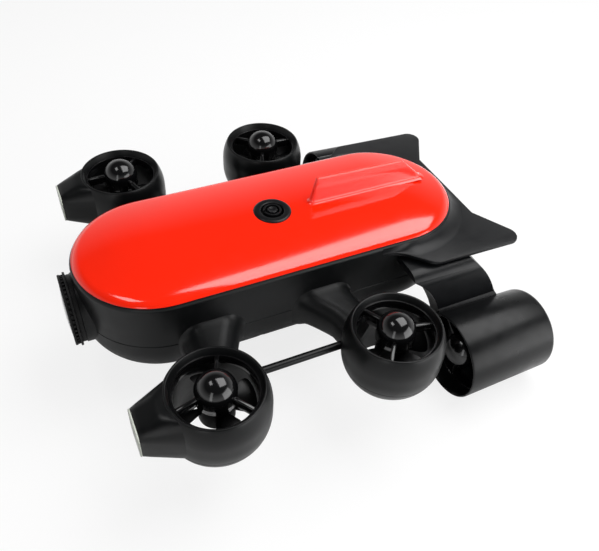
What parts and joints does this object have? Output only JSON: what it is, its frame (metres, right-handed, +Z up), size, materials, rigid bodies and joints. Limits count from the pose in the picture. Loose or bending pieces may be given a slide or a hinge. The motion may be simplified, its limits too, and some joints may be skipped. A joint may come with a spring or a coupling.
{
  "type": "underwater inspection vehicle",
  "caption": "Small underwater inspection vehicle: boat-shaped hull with a finned glossy cover, nose camera tube, vertical ducted thrusters on arms and rear ducted thrusters under a tail plate.",
  "frame": {"origin": "on the centre plane, midway along the vehicle, level with the lowest points of the rear ducts", "axes": "-Y towards the camera at the nose, +Z up, +X the vehicle's left side"},
  "size_m": [0.3444, 0.3795, 0.1552],
  "materials": {
    "cover_gloss": "gloss",
    "seal_rubber": "matte",
    "hull_plastic": "satin",
    "screw_steel": "plain",
    "tail_plastic": "satin",
    "battery_wrap": "satin",
    "board_laminate": "satin",
    "camera_plastic": "matte",
    "bezel_rubber": "matte",
    "window_clear": "polished",
    "port_plastic": "satin",
    "button_plastic": "satin",
    "lens_clear": "polished",
    "pod_plastic": "satin",
    "rod_plastic": "satin",
    "duct_plastic": "satin",
    "stator_gloss": "gloss",
    "motor_steel": "plain",
    "propeller_plastic": "satin"
  },
  "bodies": {
    "hull": {"battery_pack": "battery_wrap", "camera_barrel": "camera_plastic", "camera_bezel": "bezel_rubber", "camera_module": "camera_plastic", "camera_window": "window_clear", "control_board": "board_laminate", "cover_seal": "seal_rubber", "hull_screws": "screw_steel", "left_drive_duct": "duct_plastic", "left_drive_motor": "motor_steel", "left_drive_stator": "stator_gloss", "left_front_arm": "hull_plastic", "left_front_pod_motor": "motor_steel", "left_front_pod_outlet": "pod_plastic", "left_front_pod_shell": "pod_plastic", "left_front_pod_stator": "stator_gloss", "left_lamp_board": "board_laminate", "left_lamp_housing": "pod_plastic", "left_lamp_lens": "lens_clear", "left_pylon": "tail_plastic", "left_rear_arm": "hull_plastic", "left_rear_pod_motor": "motor_steel", "left_rear_pod_outlet": "pod_plastic", "left_rear_pod_shell": "pod_plastic", "left_rear_pod_stator": "stator_gloss", "left_tie_rod": "rod_plastic", "lower_hull": "hull_plastic", "port_flange": "port_plastic", "right_drive_duct": "duct_plastic", "right_drive_motor": "motor_steel", "right_drive_stator": "stator_gloss", "right_front_arm": "hull_plastic", "right_front_pod_motor": "motor_steel", "right_front_pod_outlet": "pod_plastic", "right_front_pod_shell": "pod_plastic", "right_front_pod_stator": "stator_gloss", "right_lamp_board": "board_laminate", "right_lamp_housing": "pod_plastic", "right_lamp_lens": "lens_clear", "right_pylon": "tail_plastic", "right_rear_arm": "hull_plastic", "right_rear_pod_motor": "motor_steel", "right_rear_pod_outlet": "pod_plastic", "right_rear_pod_shell": "pod_plastic", "right_rear_pod_stator": "stator_gloss", "right_tie_rod": "rod_plastic", "tail_fin": "tail_plastic", "tether_socket": "port_plastic", "top_cover": "cover_gloss", "upper_hull": "hull_plastic"},
    "power_button": {"power_button": "button_plastic"},
    "left_front_pod_propeller": {"left_front_pod_propeller": "propeller_plastic"},
    "left_rear_pod_propeller": {"left_rear_pod_propeller": "propeller_plastic"},
    "left_drive_propeller": {"left_drive_propeller": "propeller_plastic"},
    "right_front_pod_propeller": {"right_front_pod_propeller": "propeller_plastic"},
    "right_rear_pod_propeller": {"right_rear_pod_propeller": "propeller_plastic"},
    "right_drive_propeller": {"right_drive_propeller": "propeller_plastic"}
  },
  "joints": [
    {"name": "left_front_pod_spin", "type": "hinge", "parent": "hull", "child": "left_front_pod_propeller", "pos_m": [0.1324, -0.1119, 0.1], "axis": [0, 0, 1], "continuous": true},
    {"name": "left_rear_pod_spin", "type": "hinge", "parent": "hull", "child": "left_rear_pod_propeller", "pos_m": [0.1324, 0.0318, 0.1], "axis": [0, 0, 1], "continuous": true},
    {"name": "left_drive_spin", "type": "hinge", "parent": "hull", "child": "left_drive_propeller", "pos_m": [0.129, 0.14, 0.0379], "axis": [0, 1, 0], "continuous": true},
    {"name": "right_front_pod_spin", "type": "hinge", "parent": "hull", "child": "right_front_pod_propeller", "pos_m": [-0.1324, -0.1119, 0.1], "axis": [0, 0, 1], "continuous": true},
    {"name": "right_rear_pod_spin", "type": "hinge", "parent": "hull", "child": "right_rear_pod_propeller", "pos_m": [-0.1324, 0.0318, 0.1], "axis": [0, 0, 1], "continuous": true},
    {"name": "right_drive_spin", "type": "hinge", "parent": "hull", "child": "right_drive_propeller", "pos_m": [-0.129, 0.14, 0.0379], "axis": [0, 1, 0], "continuous": true},
    {"name": "power_button_press", "type": "slide", "parent": "hull", "child": "power_button", "axis": [0, 0, -1], "range_m": [0, 0.0012], "stiffness_N_per_m": 600, "springref_m": -0.0004}
  ]
}
